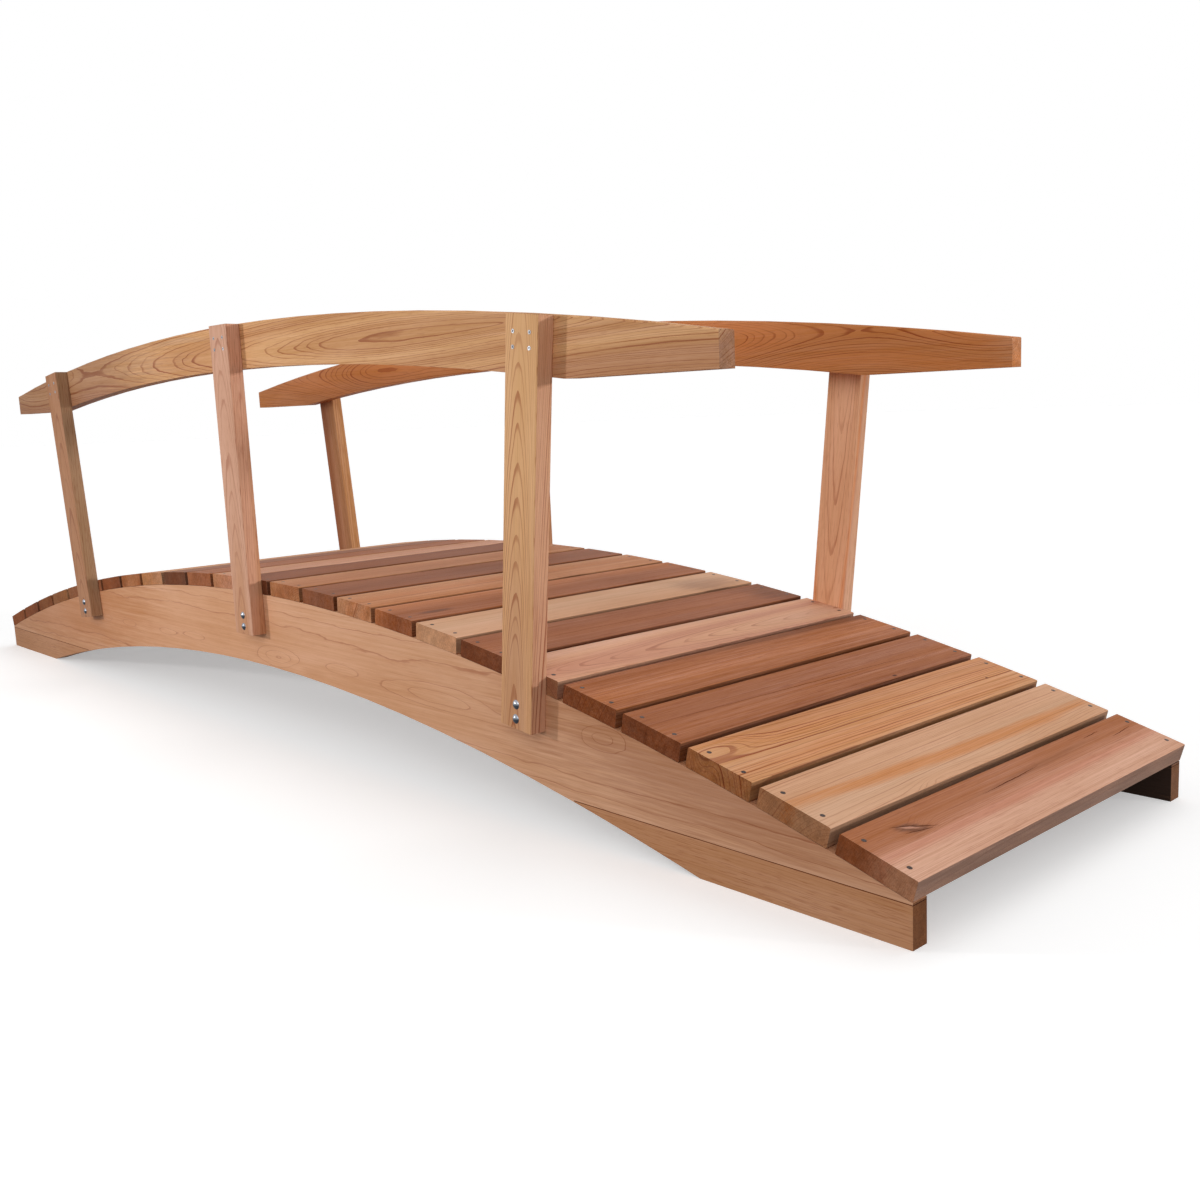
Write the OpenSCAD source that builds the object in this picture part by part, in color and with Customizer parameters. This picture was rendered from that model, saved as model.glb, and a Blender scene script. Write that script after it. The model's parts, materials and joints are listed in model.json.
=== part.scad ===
// Arched cedar garden bridge with a handrail on each side.
// X runs along the bridge and Y across it, with the front side at -Y and +Z up.
// The origin is on the ground, under the middle of the deck.

/* [Side beams] */
// Length along the ground, from end face to end face
beam_len = 2438; // [2000:1:3000]
// Width over the outer faces of the two beams, which is the length of a tread
deck_w = 559; // [450:1:900]
// Thickness of the beam boards
beam_t = 22; // [18:1:45]
// Height of the beam's end faces
beam_end_h = 45; // [38:1:65]
// Height of the beam's top edge in the middle
beam_crown_h = 222; // [195:1:280]
// Height of the arch under the beam in the middle
arch_crown_h = 109; // [85:1:130]
// Length of the flat foot at each end
foot_len = 262; // [180:1:340]
// Height of the glued foot pieces, up to the seam
foot_h = 43; // [34:1:52]

/* [Treads] */
// Thickness of the tread boards
tread_t = 22; // [16:1:38]
// Gap between two treads at their undersides
tread_gap = 10; // [4:0.5:20]
// Radius of the eased long edges of a tread
tread_ease = 1.5; // [0.5:0.1:4]

/* [Posts] */
// Width of a post along the bridge
post_w = 57; // [40:1:90]
// Thickness of a post across the bridge
post_t = 22; // [16:1:45]
// Treads from the middle post to an outer post
post_step = 7; // [4:1:9]
// How much nearer to the middle an outer post stands than its tread's middle
post_inset = 3; // [0:0.5:15]
// Lap of the middle posts over the beam, below its top edge
mid_post_lap = 62; // [40:1:90]
// Lap of the outer posts over the beam, below its top edge
outer_post_lap = 46; // [36:1:80]
// How far a post's top stays below the top of the handrail
post_top_drop = 1; // [0:0.5:10]
// Radius of the eased long edges of a post
post_ease = 1.5; // [0.5:0.1:4]

/* [Handrails] */
// Length of a handrail, from end face to end face
rail_len = 2010; // [1700:1:2300]
// Thickness of the handrail boards
rail_t = 22; // [16:1:45]
// Height of the flat undersides above the ground
rail_h = 520; // [440:1:800]
// Height of the end faces of a handrail
rail_end_h = 37; // [28:1:55]
// Height from the flat undersides to the top of the rail in the middle
rail_rise = 113; // [95:1:140]
// Height from the flat undersides to the arch under the rail in the middle
rail_arch_h = 46; // [32:1:58]
// Length of the flat underside at each end
rail_flat_len = 229; // [150:1:320]
// Radius of the eased top edges of a handrail
rail_ease = 2; // [0.5:0.1:5]

/* [Hidden] */
// Clearance under the flat treads, so that none bites into the curved beam edge
tread_seat = 0.2;
// Least height of a glued piece where it would run out to nothing along the arch
feather_h = 2;
// One tread for each tread node
tread_count = 25;
mid_tread = (tread_count + 1) / 2;
arc_fn = 720;
ease_fn = 32;

// Radius of the circle through both ends of a chord, half of it long, and its crown
function crown_r(half, rise) = (half * half + rise * rise) / (2 * rise);
// Distance from the middle at which a circle centred at height c falls to height h
function reach(r, c, h) = sqrt(r * r - (h - c) * (h - c));

// Circle of the beam's top edge, on which the treads lie
deck_r = crown_r(beam_len / 2, beam_crown_h - beam_end_h);
deck_c = beam_crown_h - deck_r;
// Circle of the arch under the beam
arch_r = crown_r(beam_len / 2 - foot_len, arch_crown_h);
arch_c = arch_crown_h - arch_r;
foot_in_x = reach(arch_r, arch_c, foot_h - feather_h);
// Circle of the handrail's top edge, on whose radii the posts stand
rail_r = crown_r(rail_len / 2, rail_rise - rail_end_h);
rail_c = rail_h + rail_rise - rail_r;
// Circle of the arch under the handrail
rail_arch_r = crown_r(rail_len / 2 - rail_flat_len, rail_arch_h);
rail_arch_c = rail_h + rail_arch_h - rail_arch_r;

// Outer faces of the beams, the handrails and the tread ends
front_y = -deck_w / 2;
back_y = deck_w / 2;

// The treads share the arc, and the end treads finish flush with the beam ends
deck_end_a = asin(beam_len / 2 / deck_r);
gap_a = 2 * atan(tread_gap / 2 / deck_r);
tread_pitch = (2 * deck_end_a + gap_a) / tread_count;
tread_w = 2 * deck_r * tan(tread_pitch / 2) - tread_gap;

// An outer post crosses the beam's top edge close to the middle of its tread
post_x = deck_r * sin(post_step * tread_pitch) - post_inset;
post_z = deck_c + sqrt(deck_r * deck_r - post_x * post_x);
outer_lean = atan(post_x / (post_z - rail_c));
mid_foot_r = beam_crown_h - rail_c - mid_post_lap;
outer_foot_r = norm([post_x, post_z - rail_c]) - outer_post_lap;

cedar_pale = [0.84, 0.66, 0.48];
cedar_rose = [0.79, 0.57, 0.45];
cedar_honey = [0.80, 0.58, 0.36];
cedar_brown = [0.66, 0.44, 0.30];
function tread_tone(n) = n % 4 == 0 ? cedar_brown : n % 4 == 1 ? cedar_rose
                       : n % 4 == 2 ? cedar_pale : cedar_honey;

// Side view drawn in X and Z, stood up as a board from y to y + t
module upright(y, t) {
    translate([0, y + t, 0]) rotate([90, 0, 0]) linear_extrude(t) children();
}

// Side view of a whole beam: flat feet, arched top edge and the arch sawn under it
module beam_outline() {
    difference() {
        intersection() {
            translate([-beam_len / 2, 0]) square([beam_len, beam_crown_h]);
            translate([0, deck_c]) circle(r = deck_r, $fn = arc_fn);
        }
        translate([0, arch_c]) circle(r = arch_r, $fn = arc_fn);
    }
}

// Side view of the glued foot at the right end, below the straight seam
module foot_blank() {
    translate([foot_in_x, 0]) square([beam_len / 2 - foot_in_x, foot_h]);
}

// Upper board of a beam, arched above and below, with a seam where the feet are glued on
module beam_board(y) {
    color(cedar_rose) upright(y, beam_t) difference() {
        beam_outline();
        foot_blank();
        mirror([1, 0]) foot_blank();
    }
}

// Foot piece glued under the right (1) or left (-1) end of a beam board
module foot(y, side) {
    color(cedar_rose) upright(y, beam_t) intersection() {
        beam_outline();
        mirror([side < 0 ? 1 : 0, 0]) foot_blank();
    }
}

// Rectangle w by t, standing on its lower side, with its corners eased
module eased_rect(w, t, ease) {
    translate([-w / 2, ease]) square([w, t - 2 * ease]);
    translate([ease - w / 2, 0]) square([w - 2 * ease, t]);
    for (x = [ease - w / 2, w / 2 - ease], y = [ease, t - ease])
        translate([x, y]) circle(r = ease, $fn = ease_fn);
}

// Flat board laid square across both beams, tread n from the right end
module tread(n) {
    color(tread_tone(n))
        translate([0, 0, deck_c]) rotate([0, (mid_tread - n) * tread_pitch, 0])
            translate([0, back_y, deck_r + tread_seat]) rotate([90, 0, 0])
                linear_extrude(deck_w) eased_rect(tread_w, tread_t, tread_ease);
}

// Post on the outer face of a beam and its handrail, along a radius of the handrail's arc
module post(y, lean, foot_r) {
    color(cedar_rose)
        translate([0, y, rail_c]) rotate([0, lean, 0]) translate([0, 0, foot_r])
            linear_extrude(rail_r - post_top_drop - foot_r)
                eased_rect(post_w, post_t, post_ease);
}

// Side view of a handrail: flat undersides at the ends, an arch between them, arched top
module rail_outline() {
    difference() {
        intersection() {
            translate([-rail_len / 2, rail_h]) square([rail_len, rail_rise]);
            translate([0, rail_c]) circle(r = rail_r, $fn = arc_fn);
        }
        translate([0, rail_arch_c]) circle(r = rail_arch_r, $fn = arc_fn);
    }
}

// Rim of the handrail's circle, from y to y + rail_t, with both top edges eased
module eased_rim(y) {
    translate([0, y + rail_t, rail_c]) rotate([90, 0, 0])
        rotate_extrude($fn = arc_fn) {
            translate([rail_r - 2 * rail_rise, 0]) square([2 * rail_rise - rail_ease, rail_t]);
            translate([rail_r - 2 * rail_rise, rail_ease])
                square([2 * rail_rise, rail_t - 2 * rail_ease]);
            for (z = [rail_ease, rail_t - rail_ease])
                translate([rail_r - rail_ease, z]) circle(r = rail_ease, $fn = ease_fn);
        }
}

// Handrail sawn from one board, from y to y + rail_t
module handrail(y) {
    color(cedar_honey) intersection() {
        upright(y, rail_t) rail_outline();
        eased_rim(y);
    }
}

beam_board(front_y);  // front_beam
foot(front_y, -1);  // front_foot_left
foot(front_y, 1);  // front_foot_right
beam_board(back_y - beam_t);  // back_beam
foot(back_y - beam_t, -1);  // back_foot_left
foot(back_y - beam_t, 1);  // back_foot_right
tread(1);  // tread_01
tread(2);  // tread_02
tread(3);  // tread_03
tread(4);  // tread_04
tread(5);  // tread_05
tread(6);  // tread_06
tread(7);  // tread_07
tread(8);  // tread_08
tread(9);  // tread_09
tread(10);  // tread_10
tread(11);  // tread_11
tread(12);  // tread_12
tread(13);  // tread_13
tread(14);  // tread_14
tread(15);  // tread_15
tread(16);  // tread_16
tread(17);  // tread_17
tread(18);  // tread_18
tread(19);  // tread_19
tread(20);  // tread_20
tread(21);  // tread_21
tread(22);  // tread_22
tread(23);  // tread_23
tread(24);  // tread_24
tread(25);  // tread_25
post(front_y - post_t, -outer_lean, outer_foot_r);  // front_post_left
post(front_y - post_t, 0, mid_foot_r);  // front_post_middle
post(front_y - post_t, outer_lean, outer_foot_r);  // front_post_right
post(back_y, -outer_lean, outer_foot_r);  // back_post_left
post(back_y, 0, mid_foot_r);  // back_post_middle
post(back_y, outer_lean, outer_foot_r);  // back_post_right
handrail(front_y);  // front_handrail
handrail(back_y - rail_t);  // back_handrail
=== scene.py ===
# %% [markdown]
# # An arched cedar garden bridge
#
# The joinery comes in as a fixed frame: two arched side beams on glued feet, 25 flat treads laid
# along the arc, six posts and two curved handrails. Their shapes and places are already right, so
# this lesson is about wood. Every board gets its own piece of cedar, cut from a log of its own, and
# the bridge gets its bolts and screws. The camera, the floor and the light come first, so that each
# finish can be judged as soon as it is made.

# %% The frame
import json
import math
import random
from dataclasses import dataclass, field

import bmesh
import bpy
from mathutils import Matrix, Vector

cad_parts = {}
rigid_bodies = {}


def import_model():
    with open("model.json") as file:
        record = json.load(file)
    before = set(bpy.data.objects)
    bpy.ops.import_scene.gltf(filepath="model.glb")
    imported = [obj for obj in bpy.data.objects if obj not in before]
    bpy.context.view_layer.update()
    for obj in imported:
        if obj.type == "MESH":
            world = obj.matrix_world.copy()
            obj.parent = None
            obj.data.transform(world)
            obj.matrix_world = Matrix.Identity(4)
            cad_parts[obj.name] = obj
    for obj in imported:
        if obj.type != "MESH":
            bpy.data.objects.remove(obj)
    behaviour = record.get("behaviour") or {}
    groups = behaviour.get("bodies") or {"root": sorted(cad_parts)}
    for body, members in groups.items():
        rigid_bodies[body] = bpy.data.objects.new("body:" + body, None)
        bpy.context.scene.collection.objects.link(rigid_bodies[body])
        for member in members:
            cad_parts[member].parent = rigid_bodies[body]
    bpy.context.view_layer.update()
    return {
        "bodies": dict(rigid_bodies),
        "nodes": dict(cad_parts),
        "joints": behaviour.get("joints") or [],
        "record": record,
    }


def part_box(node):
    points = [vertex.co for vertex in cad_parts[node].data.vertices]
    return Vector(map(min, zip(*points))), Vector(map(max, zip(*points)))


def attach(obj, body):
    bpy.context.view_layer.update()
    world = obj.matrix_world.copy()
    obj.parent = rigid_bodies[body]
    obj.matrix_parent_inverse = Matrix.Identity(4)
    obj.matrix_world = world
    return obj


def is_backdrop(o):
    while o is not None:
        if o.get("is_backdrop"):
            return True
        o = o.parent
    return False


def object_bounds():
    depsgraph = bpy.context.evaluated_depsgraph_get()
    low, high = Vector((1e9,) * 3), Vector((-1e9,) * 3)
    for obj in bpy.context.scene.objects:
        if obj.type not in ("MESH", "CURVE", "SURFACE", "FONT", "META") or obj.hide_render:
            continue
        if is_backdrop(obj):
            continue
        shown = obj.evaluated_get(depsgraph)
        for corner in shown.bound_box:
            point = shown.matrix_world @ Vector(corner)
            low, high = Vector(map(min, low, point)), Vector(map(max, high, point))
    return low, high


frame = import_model()
boards = frame["nodes"]

# %% [markdown]
# ## The camera
#
# A camera is placed by where it stands and which way it looks. The bridge is seen from beyond its
# right end, from the height of the handrails. The view is turned to the left and tipped down
# slightly, and the camera was not held quite level, which the roll repeats. Moving the lens sideways
# with `shift_x` keeps the upright posts from leaning more than they should. Building the matrix from
# three plain turns is easier to read than three Euler angles.

# %% Camera
CAMERA_PLACE = Vector((1.8067, -1.1447, 0.4853))
CAMERA_YAW = math.radians(45.71)
CAMERA_PITCH = math.radians(-8.93)
CAMERA_ROLL = math.radians(-2.08)
SENSOR_MM = 36
LENS_MM = 36.7
LENS_SHIFT = -0.0543

camera = bpy.data.objects.new("camera", bpy.data.cameras.new("camera"))
camera.data.sensor_width = SENSOR_MM
camera.data.lens = LENS_MM
camera.data.shift_x = LENS_SHIFT
camera.data.clip_end = 200
camera.matrix_world = (
    Matrix.Translation(CAMERA_PLACE)
    @ Matrix.Rotation(CAMERA_YAW, 4, "Z")
    @ Matrix.Rotation(math.pi / 2 + CAMERA_PITCH, 4, "X")
    @ Matrix.Rotation(CAMERA_ROLL, 4, "Z")
)
bpy.context.scene.collection.objects.link(camera)
bpy.context.scene.camera = camera
bpy.context.scene.view_settings.view_transform = "Standard"
print("camera", [round(v, 2) for v in camera.location], "lens", camera.data.lens, "mm")

# %% [markdown]
# ## A short way to write nodes
#
# A material in Blender is a small program made of nodes. Clicking it together is quick, and writing
# it out takes three lines for each node: make it, set it, link it. The first helper does the three
# in one call, and most others use it. An input that is given another node's output gets a link, and
# any other value is set on the socket itself. A later helper makes a node group, which is a program
# that many materials share: its inputs and outputs are named with `interface.new_socket`.

# %% Helpers for nodes
def add(tree, kind, inputs=None, **settings):
    """Adds one node to the tree and returns it."""
    made = tree.nodes.new("ShaderNode" + kind)
    for name, value in settings.items():
        setattr(made, name, value)
    for key, value in (inputs or {}).items():
        if isinstance(value, bpy.types.NodeSocket):
            tree.links.new(value, made.inputs[key])
        else:
            made.inputs[key].default_value = value
    return made


def maths(tree, operation, *values):
    """One step of arithmetic on numbers."""
    return add(tree, "Math", dict(enumerate(values)), operation=operation).outputs[0]


def vector_maths(tree, operation, *values):
    """One step of arithmetic on vectors."""
    made = add(tree, "VectorMath", dict(enumerate(values)), operation=operation)
    return made.outputs["Value" if operation in ("LENGTH", "DOT_PRODUCT") else "Vector"]


def remap(tree, value, low, high, to_low=0.0, to_high=1.0, smooth=False):
    """Stretches a number from one range onto another, and stops it at the ends."""
    return add(
        tree,
        "MapRange",
        {"Value": value, "From Min": low, "From Max": high, "To Min": to_low, "To Max": to_high},
        interpolation_type="SMOOTHSTEP" if smooth else "LINEAR",
    ).outputs["Result"]


def blend_colours(tree, way, amount, first, second):
    """Mixes two colours, or multiplies or adds them."""
    inputs = {0: amount, 6: first, 7: second}
    return add(tree, "Mix", inputs, data_type="RGBA", blend_type=way).outputs[2]


def ramp_of(tree, value, stops, interpolation="LINEAR"):
    """A colour ramp through (place, colour) stops; a plain number stands for a grey."""
    made = add(tree, "ValToRGB", {"Fac": value})
    made.color_ramp.interpolation = interpolation
    elements = made.color_ramp.elements
    between = [elements.new(place) for place, shade in stops[1:-1]]
    for element, (place, shade) in zip([elements[0], *between, elements[-1]], stops):
        element.position = place
        element.color = shade if isinstance(shade, tuple) else (shade, shade, shade, 1)
    return made.outputs["Color"]


def numbers(**values):
    """Input sockets for plain numbers, with the values that they start from."""
    return [(label.replace("_", " "), "Float", value) for label, value in values.items()]


def new_group(name, inputs, outputs):
    """An empty node group with named sockets. Returns its tree, what comes in and what goes out."""
    tree = bpy.data.node_groups.new(name, "ShaderNodeTree")
    for label, kind, value in inputs:
        kind = "NodeSocket" + kind
        socket = tree.interface.new_socket(name=label, in_out="INPUT", socket_type=kind)
        socket.default_value = value
    for label, kind in outputs:
        kind = "NodeSocket" + kind
        tree.interface.new_socket(name=label, in_out="OUTPUT", socket_type=kind)
    return tree, tree.nodes.new("NodeGroupInput").outputs, tree.nodes.new("NodeGroupOutput").inputs


def place_group(tree, group, inputs=None):
    """Puts a node group into a material, with this material's own values. Returns its outputs."""
    return add(tree, "Group", inputs, node_tree=group).outputs


def new_material(name):
    """An empty material. Returns it with its node tree and its Principled shader."""
    material = bpy.data.materials.new(name)
    material.use_nodes = True
    tree = material.node_tree
    tree.nodes.clear()
    shader = tree.nodes.new("ShaderNodeBsdfPrincipled")
    output = tree.nodes.new("ShaderNodeOutputMaterial")
    tree.links.new(shader.outputs[0], output.inputs["Surface"])
    return material, tree, shader


print("helpers ready")

# %% [markdown]
# ## A white studio
#
# The bridge was cut out on white, with only its soft shadow left. A studio does that with a white
# floor that runs up into a white wall. Here the world is the wall: rays from the camera, and
# reflections, see it as pure white, while it lights the bridge at less than half that strength. The
# floor works the same way. The camera sees a white floor, lifted by a little emission to full white
# where no shadow lies. To the bridge it is only a dark floor, so that little light comes up from
# below and the undersides of the boards stay dark, as they are in the photograph.

# %% Floor and world
WORLD_STRENGTH = 0.48
FLOOR_HALF = 40.0
FLOOR_SEEN = 0.81
FLOOR_BOUNCE = 0.22
FLOOR_LIFT = 0.37


def seen_directly(tree):
    """1 for rays from the camera and for reflections, 0 for light that bounces from the wood."""
    path = add(tree, "LightPath").outputs
    direct = maths(tree, "MAXIMUM", path["Is Camera Ray"], path["Is Transmission Ray"])
    return maths(tree, "MAXIMUM", direct, path["Is Glossy Ray"])


world = bpy.data.worlds.new("white studio")
world.use_nodes = True
sky = world.node_tree
bpy.context.scene.world = world
sky_strength = maths(sky, "MULTIPLY_ADD", seen_directly(sky), 1 - WORLD_STRENGTH, WORLD_STRENGTH)
sky.links.new(sky_strength, sky.nodes["Background"].inputs["Strength"])
sky.nodes["Background"].inputs["Color"].default_value = (1, 1, 1, 1)

floor_mesh = bpy.data.meshes.new("floor")
floor_mesh.from_pydata(
    [(x * FLOOR_HALF, y * FLOOR_HALF, 0) for x, y in ((-1, -1), (1, -1), (1, 1), (-1, 1))],
    [],
    [(0, 1, 2, 3)],
)
floor = bpy.data.objects.new("floor", floor_mesh)
bpy.context.scene.collection.objects.link(floor)
floor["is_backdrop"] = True

floor_paint = bpy.data.materials.new("white floor")
floor_paint.use_nodes = True
paint = floor_paint.node_tree
paint.nodes.clear()
seen = seen_directly(paint)
floor_grey = maths(paint, "MULTIPLY_ADD", seen, FLOOR_SEEN - FLOOR_BOUNCE, FLOOR_BOUNCE)
matt = add(paint, "BsdfDiffuse", {"Color": floor_grey})
lift = add(
    paint,
    "Emission",
    {"Color": (1, 1, 1, 1), "Strength": maths(paint, "MULTIPLY", seen, FLOOR_LIFT)},
)
both = add(paint, "AddShader", {0: matt.outputs[0], 1: lift.outputs[0]})
add(paint, "OutputMaterial", {"Surface": both.outputs[0]})
floor_mesh.materials.append(floor_paint)
print("floor", 2 * FLOOR_HALF, "m wide")

# %% [markdown]
# ## The lamps
#
# The shadows tell where the lamps stood. Each front post throws a strip of shadow onto the rail and
# the beam to its right. Behind the left post the strip is thin, and behind the right post it is as
# wide as the post is thick. So the main lamp was near: in front of the bridge's left half, and only
# a little higher than the handrails, because the near rail shades the far one. Its shadows are
# sharp, so it was small. It was turned to the right, and both ends of the bridge are a little
# darker than the middle, which only a near lamp can do.
#
# A second lamp stood low on the right and a little behind the bridge: the posts' right-hand faces
# are nearly as bright as their fronts, except where the handrail or the end of a tread stands right
# behind them. Both shades end almost level, so this lamp was low too. A wide soft light from the
# front right keeps the shaded far handrail and the narrow sides of the treads bright, and another
# from above and behind throws the bridge's own shadow forwards onto the floor.

# %% Key, fill, front and top light
KEY_PLACE = Vector((-0.90, -1.90, 0.72))
KEY_AIM = Vector((1.70, -0.28, 0.30))
KEY_WATTS = 12
KEY_WIDTH = 0.16
KEY_SPREAD = math.radians(150)
SUNS = {  # where the light comes from, its strength, and how wide the lamp looks in degrees
    "fill light": ((0.86, 0.50, 0.10), 1.15, 4),
    "front light": ((0.75, -0.85, 0.55), 0.75, 40),
    "top light": ((-0.10, 0.60, 1.0), 0.65, 45),
}


def sun(name, towards, strength, spread_degrees):
    """A lamp so far away that its light is parallel, coming from the given direction."""
    lamp = bpy.data.lights.new(name, "SUN")
    lamp.energy = strength
    lamp.angle = math.radians(spread_degrees)
    made = bpy.data.objects.new(name, lamp)
    made.rotation_euler = Vector(towards).to_track_quat("Z", "Y").to_euler()
    bpy.context.scene.collection.objects.link(made)


def round_lamp(name, place, aim, watts, width):
    """A round lamp of a given width, at a place, turned towards another."""
    lamp = bpy.data.lights.new(name, "AREA")
    lamp.shape = "DISK"
    lamp.spread = KEY_SPREAD
    lamp.size = width
    lamp.energy = watts
    made = bpy.data.objects.new(name, lamp)
    made.location = place
    made.rotation_euler = (place - aim).to_track_quat("Z", "Y").to_euler()
    made.visible_camera = False
    bpy.context.scene.collection.objects.link(made)


round_lamp("key light", KEY_PLACE, KEY_AIM, KEY_WATTS, KEY_WIDTH)
for name, (towards, strength, spread) in SUNS.items():
    sun(name, towards, strength, spread)
print("key light", round((KEY_PLACE - KEY_AIM).length, 2), "m from its aim, with", ", ".join(SUNS))

# %% [markdown]
# ## Where each board lies in its own log
#
# Wood grain is not a picture on the surface. It is a solid pattern that the saw cut through, so the
# face, the edge and the end of a board agree with each other. To draw it, each board first needs a
# coordinate system of its own: x along the grain, y across the board and z out of its face, in
# millimetres from the middle of the board. A straight board's axes are read from its own mesh, from
# the areas of its flat faces: the largest is its face, the next is its edge. The curved beams and
# handrails are sawn from straight boards, so their grain simply runs along the bridge.

# %% Axes of a board
def flat_directions(board):
    """The directions that a straight board's faces look in, the largest area first."""
    areas = {}
    for facet in board.data.polygons:
        normal = facet.normal
        if (normal.x, normal.y, normal.z) < (0, 0, 0):
            normal = -normal
        key = tuple(round(v, 3) + 0.0 for v in normal)
        areas[key] = areas.get(key, 0) + facet.area
    return [Vector(key) for key in sorted(areas, key=areas.get, reverse=True)]


def board_axes(name):
    """Grain, across and face direction of a board, and the middle of it."""
    low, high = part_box(name)
    side = -1 if name.startswith("front") else 1
    if name.startswith("tread"):
        face = flat_directions(boards[name])[0]
        face = face if face.z > 0 else -face
        grain = Vector((0, 1, 0))
    elif "post" in name:
        face = Vector((0, side, 0))
        edge = [d for d in flat_directions(boards[name]) if abs(d.y) < 0.5][0]
        grain = edge.cross(face).normalized()
        grain = grain if grain.z > 0 else -grain
    else:
        face = Vector((0, side, 0))
        grain = Vector((-side, 0, 0))
    return grain, face.cross(grain), face, (low + high) / 2


for name in ("tread_01", "front_post_right", "front_beam"):
    grain, across, face, middle = board_axes(name)
    print(name, "grain", [round(v, 2) for v in grain], "face", [round(v, 2) for v in face])

# %% [markdown]
# ## Growth rings
#
# A tree adds a ring each year: a wide pale band in spring that darkens a little in summer and ends
# in a thin hard line in autumn, and then starts pale again. How much of the ring that line takes is
# the group's Autumn Share. Around the log's heart the rings are nearly round, so the distance from
# the heart's line, divided by the width of a ring, counts the rings. Where a board was cut close to
# the heart and the tree grew at a slight slant, the saw passes in and out of the rings and draws
# the pointed arches that are called cathedral grain. Far from the heart it draws straight lines.
#
# Slow noise makes the rings wander and quicker noise makes them ripple, both stretched along the
# grain. A noise is written as up to four numbers: how many features fit into a millimetre along the
# grain and across it, how many finer layers lie on top, and how strong those are.

# %% Group: growth rings
SLOW_NOISE = (0.0022, 0.014, 1.0)
QUICK_NOISE = (0.016, 0.07, 2.0)
FAINT_NOISE = (0.008, 0.04, 1.0)
YEARS_APART = 0.31
GOOD_YEARS = 2.4
SUMMER_TONE = 0.18

ring_tree, into, out = new_group(
    "Growth Rings",
    [
        ("Position", "Vector", (0, 0, 0)),
        ("Heart", "Vector", (0, 0, -100)),
        ("Slant", "Vector", (0, 0, 0.03)),
        *numbers(Ring_Width=3.0, Wander=5.0, Ripple=1.0, Autumn_Share=0.25, Push=0.0, Seed=0.0),
    ],
    [("Line", "Float"), ("Distance", "Float")],
)


def stretched_noise(tree, into, along, across, detail, roughness=0.5):
    """Noise in board millimetres, drawn out along the grain. Takes a group's Position and Seed."""
    squeeze = (along, across, across)
    spot = vector_maths(tree, "MULTIPLY_ADD", into["Position"], squeeze, into["Seed"])
    inputs = {"Vector": spot, "Scale": 1.0, "Detail": detail, "Roughness": roughness}
    return add(tree, "TexNoise", inputs).outputs["Fac"]


def either_way(tree, noise, amount):
    """Turns noise from 0 to 1 into a shift to either side."""
    return maths(tree, "MULTIPLY", maths(tree, "SUBTRACT", noise, 0.5), amount)


along_grain = add(ring_tree, "SeparateXYZ", {0: into["Position"]}).outputs["X"]
heart_here = vector_maths(ring_tree, "MULTIPLY_ADD", into["Slant"], along_grain, into["Heart"])
from_heart = vector_maths(ring_tree, "SUBTRACT", into["Position"], heart_here)
from_heart = vector_maths(ring_tree, "MULTIPLY", from_heart, (0, 1, 1))
slow = stretched_noise(ring_tree, into, *SLOW_NOISE)
quick = stretched_noise(ring_tree, into, *QUICK_NOISE)
distance = vector_maths(ring_tree, "LENGTH", from_heart)
distance = maths(ring_tree, "ADD", distance, either_way(ring_tree, slow, into["Wander"]))
distance = maths(ring_tree, "ADD", distance, either_way(ring_tree, quick, into["Ripple"]))
distance = maths(ring_tree, "ADD", distance, into["Push"])
years = maths(ring_tree, "DIVIDE", distance, into["Ring Width"])
count = maths(ring_tree, "MULTIPLY_ADD", years, YEARS_APART, into["Seed"])
inputs = {"W": count, "Scale": 1.0, "Detail": 1.0}
good_years = add(ring_tree, "TexNoise", inputs, noise_dimensions="1D").outputs["Fac"]
years = maths(ring_tree, "MULTIPLY_ADD", good_years, GOOD_YEARS, years)
season = maths(ring_tree, "FRACT", years)
starts = maths(ring_tree, "SUBTRACT", 1.0, into["Autumn Share"])
full = maths(ring_tree, "MULTIPLY_ADD", into["Autumn Share"], -0.35, 1.0)
autumn = remap(ring_tree, season, starts, full, 0, 1, smooth=True)
summer = maths(ring_tree, "MULTIPLY", maths(ring_tree, "POWER", season, 3.0), SUMMER_TONE)
autumn = maths(ring_tree, "MAXIMUM", autumn, summer)
count = maths(ring_tree, "ADD", maths(ring_tree, "FLOOR", years), into["Seed"])
each_year = add(ring_tree, "TexWhiteNoise", {"W": count}, noise_dimensions="1D").outputs["Value"]
faint = stretched_noise(ring_tree, into, *FAINT_NOISE)
line = maths(ring_tree, "MULTIPLY", autumn, remap(ring_tree, each_year, 0, 1, 0.4, 1))
line = maths(ring_tree, "MULTIPLY", line, remap(ring_tree, faint, 0.35, 0.6, 0.55, 1))
ring_tree.links.new(line, out["Line"])
ring_tree.links.new(distance, out["Distance"])
print("Growth Rings:", len(ring_tree.nodes), "nodes")

# %% [markdown]
# ## Long fibre
#
# Between the rings, cedar shows soft streaks a hand's length or more and, closer, the fine fibre
# that the planer left, with short dark dashes where it cut open the pores. All are noise stretched
# far more along the grain than across it. The dashes are the darkest part of a finer noise.

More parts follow.
